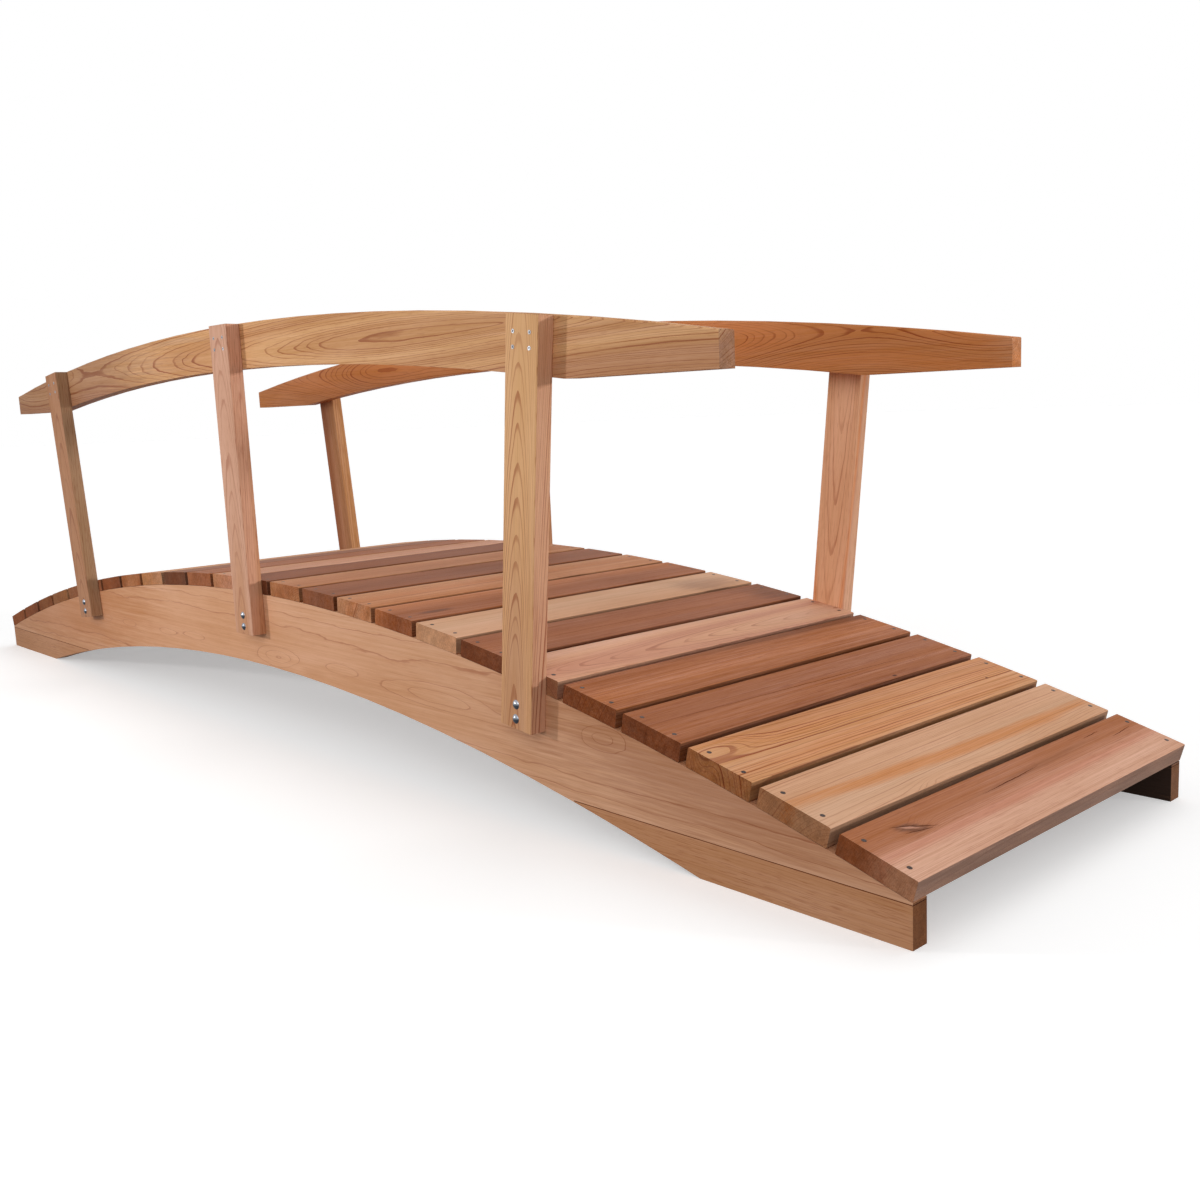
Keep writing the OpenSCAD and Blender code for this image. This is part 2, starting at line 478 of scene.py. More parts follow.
# %% Group: long fibre
LONG_NOISES = {  # the noise, and the two levels of it that become 0 and 1
    "Streak": ((0.0018, 0.17, 4.0, 0.68), 0.25, 0.75),
    "Fibre": ((0.012, 0.7, 3.0, 0.7), 0.25, 0.75),
    "Cloud": ((0.004, 0.02, 2.0), 0.25, 0.75),
    "Dashes": ((0.045, 0.75, 1.0), 0.56, 0.72),
}
fibre_tree, into, out = new_group(
    "Long Fibre",
    [("Position", "Vector", (0, 0, 0)), *numbers(Seed=0.0)],
    [(label, "Float") for label in LONG_NOISES],
)
for label, (noise, low, high) in LONG_NOISES.items():
    level = remap(fibre_tree, stretched_noise(fibre_tree, into, *noise), low, high)
    fibre_tree.links.new(level, out[label])
print("Long Fibre:", len(fibre_tree.nodes), "nodes")

# %% [markdown]
# ## Swellings in the rings
#
# Where a branch once grew, or the trunk had a bump, the rings swell outwards. A saw that passes
# through a swelling cuts nested ovals, like the contour lines of a hill on a map. The group gives
# a push that is added to the rings' distance: strongest at one place and fading out in a long oval.
# A board with several swellings places the group several times and adds up what comes out.

# %% Group: swelling
PLACED = [("Position", "Vector", (0, 0, 0)), ("Place", "Vector", (0, 0, 0))]
SWELLING_DEPTH = 40.0
swell_tree, into, out = new_group(
    "Swelling",
    [*PLACED, *numbers(Rise=12.0, Length=60.0, Width=12.0)],
    [("Push", "Float")],
)


def oval_reach(tree, position, place, length, width):
    """How far a point lies from a place, where 1 is the rim of an oval along the grain."""
    away = vector_maths(tree, "SUBTRACT", position, place)
    size = add(tree, "CombineXYZ", {0: length, 1: width, 2: SWELLING_DEPTH}).outputs[0]
    return vector_maths(tree, "LENGTH", vector_maths(tree, "DIVIDE", away, size))


hill = oval_reach(swell_tree, into["Position"], into["Place"], into["Length"], into["Width"])
hill = maths(swell_tree, "MULTIPLY", maths(swell_tree, "POWER", hill, 2), -1)
hill = maths(swell_tree, "EXPONENT", hill)
swell_tree.links.new(maths(swell_tree, "MULTIPLY", hill, into["Rise"]), out["Push"])
print("Swelling:", len(swell_tree.nodes), "nodes")

# %% [markdown]
# ## Stains and cracks
#
# Cedar is rarely of one colour: an orange stripe of heartwood runs through a pale board, a grey
# patch lies beside a knot. Each is a long oval whose rim is frayed by fibre noise, and which may
# drift and bend across the board. A crack that opened as the wood dried is a hair-thin dark line
# along the grain, which tapers at both ends, and a glued seam is a crack as long as the board. Both
# groups only say where. The colours are given when they are used.
# The stain's oval also lays a near-black painted shade where a board lies in deep shade.

# %% Groups: stain and crack
FRAY_NOISE = (0.012, 0.30, 3.0, 0.6)
FRAY = 1.1
JITTER_NOISE = (0.05, 0.02, 2.0, 0.6)
stain_tree, into, out = new_group(
    "Stain",
    [*PLACED, *numbers(Length=100.0, Width=8.0, Drift=0.0, Bend=0.0, Seed=0.0)],
    [("Mask", "Float")],
)


def drifted_place(tree, into):
    """The middle of a stain or crack at this point of the board: it drifts and bends across."""
    start = add(tree, "SeparateXYZ", {0: into["Place"]}).outputs
    here = add(tree, "SeparateXYZ", {0: into["Position"]}).outputs
    run = maths(tree, "DIVIDE", maths(tree, "SUBTRACT", here["X"], start["X"]), into["Length"])
    across = maths(tree, "MULTIPLY_ADD", run, into["Drift"], start["Y"])
    across = maths(tree, "MULTIPLY_ADD", maths(tree, "MULTIPLY", run, run), into["Bend"], across)
    return run, maths(tree, "SUBTRACT", here["Y"], across)


run, aside = drifted_place(stain_tree, into)
fray = stretched_noise(stain_tree, into, *FRAY_NOISE)
rim = maths(stain_tree, "DIVIDE", aside, into["Width"])
rim = maths(stain_tree, "MULTIPLY_ADD", rim, rim, maths(stain_tree, "MULTIPLY", run, run))
rim = maths(stain_tree, "SQRT", rim)
rim = maths(stain_tree, "ADD", rim, either_way(stain_tree, fray, FRAY))
stain_tree.links.new(remap(stain_tree, rim, 1.15, 0.35, 0, 1, smooth=True), out["Mask"])

crack_tree, into, out = new_group(
    "Crack",
    [*PLACED, *numbers(Length=50.0, Width=0.8, Drift=0.0, Bend=0.0, Jitter=3.0, Seed=0.0)],
    [("Mask", "Float")],
)
run, aside = drifted_place(crack_tree, into)
jitter = stretched_noise(crack_tree, into, *JITTER_NOISE)
aside = maths(crack_tree, "ADD", aside, either_way(crack_tree, jitter, into["Jitter"]))
aside = maths(crack_tree, "ABSOLUTE", aside)
taper = maths(crack_tree, "SUBTRACT", 1.0, maths(crack_tree, "MULTIPLY", run, run))
width = maths(crack_tree, "MULTIPLY", into["Width"], maths(crack_tree, "MAXIMUM", taper, 0.001))
crack = remap(crack_tree, maths(crack_tree, "DIVIDE", aside, width), 1.0, 0.5, 0, 1, smooth=True)
inside = maths(crack_tree, "GREATER_THAN", taper, 0.01)
crack_tree.links.new(maths(crack_tree, "MULTIPLY", crack, inside), out["Mask"])
print("Stain:", len(stain_tree.nodes), "nodes, Crack:", len(crack_tree.nodes), "nodes")

# %% [markdown]
# ## Sawn ends and eased edges
#
# At the end of a board the saw cuts across the fibres, like a bundle of straws. They soak up light,
# so the end is darker, browner and rougher than the face, and the blade leaves faint stripes. The
# group compares the surface's direction with the grain. Given the direction across the board
# instead, the same group finds the two narrow sides, which were sawn and never planed. The second
# group finds the edges: a Bevel node rounds the shading by half a millimetre, and where that differs
# from the flat surface there is an edge, which is painted paler: partly rubbed by handling, partly a
# painted highlight.

# %% Groups: sawn end and eased edge
SPECKLE_NOISE = (0.5, 0.5, 4.0, 0.75)
STRIPE_NOISE = (0.01, 0.07, 3.0, 0.6)
STRIPE_SHARE = 0.45
end_tree, into, out = new_group(
    "Sawn End",
    [("Position", "Vector", (0, 0, 0)), ("Grain", "Vector", (1, 0, 0)), *numbers(Seed=0.0)],
    [("End", "Float"), ("Speckle", "Float")],
)
outwards = add(end_tree, "TexCoord").outputs["Normal"]
facing = vector_maths(end_tree, "DOT_PRODUCT", outwards, into["Grain"])
end_mask = remap(end_tree, maths(end_tree, "ABSOLUTE", facing), 0.75, 0.92)
speckle = stretched_noise(end_tree, into, *SPECKLE_NOISE)
stripes = stretched_noise(end_tree, into, *STRIPE_NOISE)
stripes = maths(end_tree, "MULTIPLY", stripes, STRIPE_SHARE)
speckle = maths(end_tree, "MULTIPLY_ADD", speckle, 1 - STRIPE_SHARE, stripes)
end_tree.links.new(end_mask, out["End"])
end_tree.links.new(remap(end_tree, speckle, 0.35, 0.65), out["Speckle"])

edge_tree, into, out = new_group(
    "Eased Edge", numbers(Radius=0.0005), [("Edge", "Float"), ("Normal", "Vector")]
)
rounded = add(edge_tree, "Bevel", {"Radius": into["Radius"]}, samples=4).outputs["Normal"]
flat = add(edge_tree, "NewGeometry").outputs["Normal"]
alike = vector_maths(edge_tree, "DOT_PRODUCT", rounded, flat)
turned_by = maths(edge_tree, "SUBTRACT", 1.0, alike)
edge_tree.links.new(remap(edge_tree, turned_by, 0.02, 0.25), out["Edge"])
edge_tree.links.new(rounded, out["Normal"])
print("Sawn End and Eased Edge ready")

# %% [markdown]
# ## The colour of cedar
#
# One group puts the parts together. It starts from the wood's plain colour and darkens it towards a
# warmer line colour where a ring ends. Streaks and fibre make it a little lighter or darker, dashes
# and cracks are drawn in, the end grain takes a tone of its own, a knot's core goes dark, and edges
# are a touch paler, partly as wear and partly as a painted highlight. It also gives the roughness
# and the height for the bump, so that gloss and relief follow the same grain.

# %% Group: cedar surface
# Pale tone of the edges: rubbed wear and a painted highlight.
RUBBED_HIGHLIGHT_TONE = (0.80, 0.62, 0.48, 1)
CORE_TONE = (0.22, 0.11, 0.06, 1)
CRACK_TONE = (0.24, 0.10, 0.05, 1)
surface_tree, into, out = new_group(
    "Cedar Surface",
    [
        ("Wood", "Color", (0.5, 0.3, 0.2, 1)),
        ("Line Tone", "Color", (0.6, 0.4, 0.3, 1)),
        ("End Tone", "Color", (0.5, 0.4, 0.3, 1)),
        *numbers(Line=0.0, Line_Strength=0.5, Streak=0.5, Streak_Strength=0.2),
        *numbers(Fibre=0.5, Cloud=0.5, Dashes=0.0, Dash_Strength=0.3),
        *numbers(End=0.0, Speckle=0.5, Core=0.0, Crack=0.0, Edge=0.0),
    ],
    [("Color", "Color"), ("Roughness", "Float"), ("Height", "Float")],
)
lined = maths(surface_tree, "MULTIPLY", into["Line"], into["Line Strength"])
wood = blend_colours(surface_tree, "MULTIPLY", lined, into["Wood"], into["Line Tone"])
dashed = maths(surface_tree, "MULTIPLY", into["Dashes"], into["Dash Strength"])
wood = blend_colours(surface_tree, "MULTIPLY", dashed, wood, into["Line Tone"])
shift = either_way(surface_tree, into["Streak"], into["Streak Strength"])
fine = maths(surface_tree, "MULTIPLY", into["Streak Strength"], 0.9)
shift = maths(surface_tree, "ADD", shift, either_way(surface_tree, into["Fibre"], fine))
shift = maths(surface_tree, "ADD", shift, either_way(surface_tree, into["Cloud"], 0.14))
richer = maths(surface_tree, "MULTIPLY_ADD", shift, -0.6, 1.0)
paler = maths(surface_tree, "ADD", 1.0, shift)
inputs = {"Saturation": richer, "Value": paler, "Color": wood}
wood = add(surface_tree, "HueSaturation", inputs).outputs["Color"]
# Edges are mixed towards the pale tone, partly wear and partly a painted highlight.
rubbed_highlight = maths(surface_tree, "MULTIPLY_ADD", into["Cloud"], 0.25, 0.1)
rubbed_highlight = maths(surface_tree, "MULTIPLY", into["Edge"], rubbed_highlight)
wood = blend_colours(surface_tree, "MIX", rubbed_highlight, wood, RUBBED_HIGHLIGHT_TONE)
end_wood = blend_colours(surface_tree, "MULTIPLY", 1.0, wood, into["End Tone"])
end_shade = remap(surface_tree, into["Speckle"], 0, 1, 0.70, 1.25)
end_wood = add(surface_tree, "HueSaturation", {"Value": end_shade, "Color": end_wood})
end_wood = end_wood.outputs["Color"]
wood = blend_colours(surface_tree, "MIX", into["End"], wood, end_wood)
wood = blend_colours(surface_tree, "MULTIPLY", into["Core"], wood, CORE_TONE)
wood = blend_colours(surface_tree, "MULTIPLY", into["Crack"], wood, CRACK_TONE)
surface_tree.links.new(wood, out["Color"])
rough = maths(surface_tree, "MULTIPLY_ADD", into["Fibre"], 0.12, 0.58)
for label, rougher in (("Line", -0.08), ("End", 0.22), ("Crack", 0.4)):
    rough = maths(surface_tree, "MULTIPLY_ADD", into[label], rougher, rough)
surface_tree.links.new(rough, out["Roughness"])
relief = maths(surface_tree, "MULTIPLY", into["Fibre"], 0.35)
for label, higher in (("Line", 0.25), ("Dashes", -0.3)):
    relief = maths(surface_tree, "MULTIPLY_ADD", into[label], higher, relief)
relief = add(surface_tree, "Mix", {0: into["End"], 2: relief, 3: into["Speckle"]}).outputs[0]
relief = maths(surface_tree, "MULTIPLY_ADD", into["Crack"], -1.5, relief)
surface_tree.links.new(relief, out["Height"])
print("Cedar Surface:", len(surface_tree.nodes), "nodes")

# %% [markdown]
# ## One board of cedar
#
# The colours of a cedar board run in bands that follow the rings, from cream sapwood through salmon
# and honey to brown heartwood. So a board is described the way a sawyer would: its bands from one
# side to the other, where the heart of its log lay, how wide its rings are and how much they wander,
# and then its own marks: swellings, knots, stains, cracks and glued seams, each with its place along
# and across the board. The sawn ends and the two narrow sides have a tone of their own, which
# darkens the wood, because the saw left them rough. The narrow sides' tone also holds painted light:
# it makes them darker on the treads and cooler on the posts, as those faces are lit.
#
# The functions below turn such a description into a material. A Mapping node moves the pattern into
# the board's own millimetres, and a colour ramp lays the bands along the distance from the heart.
# The stains and painted shades come next, each mixed in where its mask says, and then the narrow
# sides and the marks that are drawn over everything.

# %% Colours and cuts
def srgb(red, green, blue):
    """A colour as a screen shows it, from 0 to 255, as the linear colour that shaders use."""
    parts = (v / 255 for v in (red, green, blue))
    return tuple(v / 12.92 if v <= 0.04045 else ((v + 0.055) / 1.055) ** 2.4 for v in parts) + (1,)


TONES = {
    "cream": srgb(212, 170, 138),
    "straw": srgb(234, 182, 130),
    "pale": srgb(210, 160, 124),
    "peach": srgb(224, 172, 136),
    "salmon": srgb(214, 164, 136),
    "pink": srgb(198, 132, 104),
    "rose": srgb(204, 146, 118),
    "tan": srgb(198, 143, 104),
    "honey": srgb(204, 147, 98),
    "orange": srgb(206, 138, 86),
    "marigold": srgb(224, 142, 84),
    "amber": srgb(188, 118, 72),
    "russet": srgb(170, 106, 68),
    "brown": srgb(156, 96, 63),
    "umber": srgb(128, 78, 52),
    "grey brown": srgb(138, 98, 78),
    "dark": srgb(92, 54, 38),
    # A near-black painted shade, for a board's end that lies in deep shade.
    "painted shade": srgb(24, 12, 8),
}
LINE_TONE = srgb(178, 118, 80)
END_DARK = srgb(196, 176, 156)
END_LIGHT = srgb(240, 226, 212)
# End grain darkened further as painted shade, for the near beam's ends and three feet.
END_DEEP_SHADED = srgb(150, 134, 118)
END_PALE = srgb(250, 246, 246)
END_ROSE = srgb(221, 226, 244)
# The first tread's narrow side: rough-sawn, and darker still as painted shade.
EDGE_ROUGH_SHADED = srgb(156, 155, 157)
# The other treads' narrow sides: rough-sawn, and darker as painted shade.
EDGE_SAWN_SHADED = srgb(190, 187, 185)
EDGE_PLAIN = srgb(246, 244, 242)
SEAM_LENGTH = 4000
SEAM_JITTER = 0.3
GRAIN_DEPTH = 0.0004
DRY_WOOD_SHEEN = 0.15


@dataclass
class Cut:
    """How a board was cut from its log, and its marks. Lengths are in millimetres."""

    bands: list  # tones from the heart's side to the other, evenly spread
    heart: tuple = (-160, -60)  # the heart's place across the board and out of its face
    slant: tuple = (0.0, 0.03)  # how far the heart drifts that way for each millimetre along
    ring: float = 3.0  # width of a year's ring
    wander: float = 8.0  # how far the rings stray slowly
    ripple: float = 1.6  # how far they stray quickly
    line: float = 0.7  # how dark the autumn lines are
    share: float = 0.25  # how much of a ring its autumn line takes
    streak: float = 0.25  # how strong the long streaks are
    dashes: float = 0.35  # how dark the pores are
    end: tuple = END_DARK  # tone of the end grain
    # The narrow sides' tone is partly the saw's roughness and partly painted light of those faces.
    edge: tuple = EDGE_PLAIN  # tone of the two narrow sides
    swellings: list = field(default_factory=list)  # (along, across, rise, length, width)
    knots: list = field(default_factory=list)  # (along, across, length, width)
    # A stain, or a painted shade, is (tone, how strong, along, across, length, width, drift, bend).
    stains_and_shade: list = field(default_factory=list)
    end_spared: float = 0.0  # how much of its stains the sawn ends are free of
    cracks: list = field(default_factory=list)  # (along, across, length, width, drift)
    seams: list = field(default_factory=list)  # (across, width), straight along the whole board


def half_size(name):
    """Half the length, width and thickness of a board, in metres."""
    *axes, middle = board_axes(name)
    corners = [vertex.co - middle for vertex in boards[name].data.vertices]
    return [max(corner.dot(axis) for corner in corners) for axis in axes]


def in_millimetres(tree, name):
    """The point of the surface along, across and out of the board, from the board's middle."""
    grain, across, face, middle = board_axes(name)
    inputs = {
        "Vector": add(tree, "TexCoord").outputs["Object"],
        "Location": middle,
        "Rotation": Matrix((grain, across, face)).transposed().to_euler(),
        "Scale": (0.001, 0.001, 0.001),
    }
    return add(tree, "Mapping", inputs, vector_type="TEXTURE").outputs[0]


def marked(tree, group, position, along, aside, **values):
    """One placed mark of a board: a swelling, knot, stain, crack or seam."""
    inputs = {"Position": position, "Place": (along, aside, 0), **values}
    return place_group(tree, group, inputs)


def cut_rings(tree, cut, position, seed):
    """The growth rings where this board was cut, pushed out by its swellings."""
    push = 0.0
    for along, aside, rise, length, width in cut.swellings:
        sizes = {"Rise": rise, "Length": length, "Width": width}
        swell = marked(tree, swell_tree, position, along, aside, **sizes)
        push = maths(tree, "ADD", swell["Push"], push)
    return place_group(
        tree,
        ring_tree,
        {
            "Position": position,
            "Heart": (0, *cut.heart),
            "Slant": (0, *cut.slant),
            "Ring Width": cut.ring,
            "Wander": cut.wander,
            "Ripple": cut.ripple,
            "Autumn Share": cut.share,
            "Push": push,
            "Seed": seed,
        },
    )


def banded(tree, name, cut, distance):
    """The wood's plain colour: its bands, from the nearest to the farthest ring on this board."""
    half_width = 1000 * half_size(name)[1]
    corners = [math.hypot(side * half_width - cut.heart[0], cut.heart[1]) for side in (-1, 1)]
    nearest = abs(cut.heart[1]) if abs(cut.heart[0]) < half_width else min(corners)
    steps = len(cut.bands) - 1
    stops = [(index / steps, TONES[tone]) for index, tone in enumerate(cut.bands)]
    return ramp_of(tree, remap(tree, distance, nearest, max(corners)), stops, "B_SPLINE")


def stained_and_shaded(tree, wood, cut, position, seed, end):
    """Mixes each stain and painted shade into the wood. The sawn end may be partly spared."""
    for tone, strength, along, aside, length, width, drift, bend in cut.stains_and_shade:
        sizes = {"Length": length, "Width": width, "Drift": drift, "Bend": bend, "Seed": seed}
        stain = marked(tree, stain_tree, position, along, aside, **sizes)
        reach = maths(tree, "MULTIPLY_ADD", end, -cut.end_spared * strength, strength)
        amount = maths(tree, "MULTIPLY", stain["Mask"], reach)
        wood = blend_colours(tree, "MIX", amount, wood, TONES[tone])
    return wood


def opened(tree, cut, position, seed):
    """Masks of the knots' cores, and of the cracks and seams."""
    core, crack = 0.0, 0.0
    for along, aside, length, width in cut.knots:
        sizes = {"Length": length, "Width": width, "Seed": seed}
        knot = marked(tree, stain_tree, position, along, aside, **sizes)
        core = maths(tree, "MAXIMUM", knot["Mask"], core)
    for along, aside, length, width, drift in cut.cracks:
        sizes = {"Length": length, "Width": width, "Drift": drift, "Seed": seed}
        split = marked(tree, crack_tree, position, along, aside, **sizes)
        crack = maths(tree, "MAXIMUM", split["Mask"], crack)
    for aside, width in cut.seams:
        sizes = {"Length": SEAM_LENGTH, "Width": width, "Jitter": SEAM_JITTER, "Seed": seed}
        glued = marked(tree, crack_tree, position, 0, aside, **sizes)
        crack = maths(tree, "MAXIMUM", glued["Mask"], crack)
    return core, crack


def cedar(name, cut, seed):
    """The material of one board: its place in the log, then rings, fibre, marks, ends and edges."""
    grain, across, face, middle = board_axes(name)
    material, tree, shader = new_material("cedar " + name)
    position = in_millimetres(tree, name)
    rings = cut_rings(tree, cut, position, seed)
    sawn = place_group(tree, end_tree, {"Position": position, "Grain": grain, "Seed": seed})
    narrow = place_group(tree, end_tree, {"Position": position, "Grain": across, "Seed": seed})
    threads = place_group(tree, fibre_tree, {"Position": position, "Seed": seed})
    edges = place_group(tree, edge_tree)

    wood = banded(tree, name, cut, rings["Distance"])
    wood = stained_and_shaded(tree, wood, cut, position, seed, sawn["End"])
    # The narrow sides take their tone: rough-sawn wood and painted light of those faces.
    patchy = remap(tree, narrow["Speckle"], 0, 1, 1.15, 0.7)
    rough_and_shaded_side = maths(tree, "MULTIPLY", narrow["End"], patchy)
    wood = blend_colours(tree, "MULTIPLY", rough_and_shaded_side, wood, cut.edge)
    core, crack = opened(tree, cut, position, seed)
    surface = place_group(
        tree,
        surface_tree,
        {
            "Wood": wood,
            "Line Tone": LINE_TONE,
            "End Tone": cut.end,
            "Line": rings["Line"],
            "Line Strength": cut.line,
            **{label: threads[label] for label in LONG_NOISES},
            "Streak Strength": cut.streak,
            "Dash Strength": cut.dashes,
            "End": sawn["End"],
            "Speckle": sawn["Speckle"],
            "Core": core,
            "Crack": crack,
            "Edge": edges["Edge"],
        },
    )
    inputs = {"Strength": 0.5, "Distance": GRAIN_DEPTH, "Height": surface["Height"]}
    bump = add(tree, "Bump", {**inputs, "Normal": edges["Normal"]})
    tree.links.new(surface["Color"], shader.inputs["Base Color"])
    tree.links.new(surface["Roughness"], shader.inputs["Roughness"])
    tree.links.new(bump.outputs["Normal"], shader.inputs["Normal"])
    shader.inputs["Specular IOR Level"].default_value = DRY_WOOD_SHEEN
    return material


print(len(TONES), "tones; a tread is", round(2000 * half_size("tread_01")[1], 1), "mm wide")

# %% [markdown]
# ## Dressing the treads
#
# No two treads of the real bridge match, and that is much of its charm. The near ones are described
# one by one. The heart's side of the bands is the tread's right-hand edge, because the heart lies at
# a negative place across. Along the board, minus is the near end and plus the far end. The far
# treads take turns with a few spare sets of bands, and draw lots for their log. The narrow side of
# the first tread is darker than the others: it is rough-sawn, and its tone also holds painted shade,
# because little light reaches that low outer face.

# %% Treads
TREADS = {
    1: Cut(
        ["salmon", "salmon", "salmon", "rose", "russet", "russet", "russet"],
        heart=(-190, -40), ring=2.6, line=0.5, dashes=0.2,
        swellings=[(-207, 15, 14, 26, 14)],
        stains_and_shade=[
            ("dark", 0.70, -206, 15, 22, 9, -8, 0),
            ("rose", 0.75, -207, 16, 12, 2.6, -6, 0),
            ("pink", 0.7, 0, -6, 420, 8, 3, 0),
            ("umber", 0.35, 40, 20, 160, 6, 4, 0),
        ],
        cracks=[
            (-17, 18, 62, 0.7, 2),
            (184, 30, 20, 0.6, 1),
            (235, 16, 27, 0.7, 2),
            (-211, 21, 17, 0.7, -6),
            (-202, 8, 22, 0.6, -4),
            (-190, 11, 16, 0.7, -7),
        ],
    ),
    2: Cut(
        ["pale", "pale", "cream", "pale", "pale", "pale"],
        heart=(-70, -40), ring=2.8, line=0.7, share=0.2, ripple=2.5, streak=0.15, dashes=0.12,
        swellings=[(-78, -40, -9, 44, 12), (-20, -42, -5, 20, 8)],
        stains_and_shade=[("orange", 0.95, 0, -11, 400, 13, -14, 16)],
    ),
    3: Cut(
        ["orange", "tan", "orange", "honey", "pale", "honey"],
        heart=(78, -34), ring=5.2, line=1.0, share=0.34, ripple=3.6, wander=12, dashes=0.12,
        swellings=[(-262, 30, 26, 60, 20)],
        knots=[(220, -5, 3, 2.5)],
        stains_and_shade=[("orange", 0.75, 0, -26, 420, 22, 0, 0)],
    ),
    4: Cut(
        ["brown", "russet", "russet", "brown", "russet"],
        heart=(-200, -40), ring=1.8, line=0.9, streak=0.36,
        knots=[(108, -39, 5, 3)],
        cracks=[(0, -1, 300, 0.5, -8), (70, -14, 200, 0.4, -3)],
    ),
    5: Cut(
        ["russet", "russet", "amber", "russet", "russet"],
        heart=(-180, -60), ring=2.0, line=1.0, streak=0.38,
        stains_and_shade=[("umber", 0.8, 200, 38, 330, 10, 0, 0)],
    ),
    6: Cut(
        ["salmon", "peach", "rose", "rose", "peach", "salmon"],
        heart=(-14, -20), slant=(0.0, 0.05), ring=2.6, line=0.6, streak=0.15, dashes=0.2,
        wander=6,
    ),
    7: Cut(
        ["brown", "brown", "russet", "brown", "brown"],
        heart=(-160, -70), ring=2.0, line=0.8, streak=0.3,
        stains_and_shade=[("umber", 0.9, 290, 0, 90, 60, 0, 0)],
        cracks=[(0, -5, 280, 0.5, 2)],
    ),
    8: Cut(
        ["pale", "pale", "cream", "pale"],
        heart=(-190, -60), ring=2.2, line=0.25, streak=0.15, dashes=0.15, end=END_LIGHT,
        stains_and_shade=[("grey brown", 0.45, 212, -10, 70, 40, 0, 0)],
    ),
    9: Cut(
        ["russet", "brown", "brown", "russet", "amber"],
        heart=(-150, -40), ring=2.2, line=0.8, streak=0.3, end=END_LIGHT,
        stains_and_shade=[("dark", 0.7, -223, -17, 34, 8, 0, 0)],
    ),
    10: Cut(
        ["tan", "amber", "tan", "amber", "tan", "tan"],
        heart=(-150, -60), ring=3.0, line=0.9, end=END_PALE,
    ),
    11: Cut(["brown", "umber", "brown"], heart=(-150, -60), ring=2.4, line=0.7, end=END_PALE),
    12: Cut(["tan", "russet", "tan"], heart=(-60, -60), ring=3.0, line=0.7, end=END_LIGHT),
    13: Cut(["umber", "brown", "umber"], heart=(-150, -60), ring=2.4, line=0.6),
    14: Cut(["salmon", "rose", "tan"], heart=(-150, -60), ring=2.4, line=0.5, end=END_LIGHT),
    15: Cut(["russet", "brown", "russet"], heart=(-150, -60), ring=2.4, line=0.6, end=END_PALE),
    16: Cut(["grey brown", "brown", "grey brown"], heart=(-150, -60), ring=2.4, line=0.6),
}
SPARE_BANDS = [
    ["brown", "russet", "brown"],
    ["tan", "rose", "tan"],
    ["pale", "tan", "honey"],
    ["russet", "tan", "russet"],
    ["umber", "brown", "brown"],
]


def dress(name, cut, seed):
    """Gives a board of the frame its own cedar."""
    slots = boards[name].data.materials
    made = cedar(name, cut, seed)
    if len(slots):
        slots[0] = made
    else:
        slots.append(made)


lumber = random.Random(11)
for number in range(1, 26):
    cut = TREADS.get(number) or Cut(
        SPARE_BANDS[number % len(SPARE_BANDS)],
        heart=(lumber.choice((-170, -120, 130)), lumber.choice((-40, -80))),
        ring=lumber.choice((2.0, 2.6, 3.2)),
        line=0.5,
        end=lumber.choice((END_DARK, END_LIGHT, END_LIGHT, END_PALE)),
    )
    # The treads' narrow-side tones hold painted shade besides the sawn roughness; the first tread's
    # is darkest.
    cut.edge = EDGE_ROUGH_SHADED if number == 1 else EDGE_SAWN_SHADED
    dress(f"tread_{number:02d}", cut, seed=number * 7.3)
print("25 treads dressed")
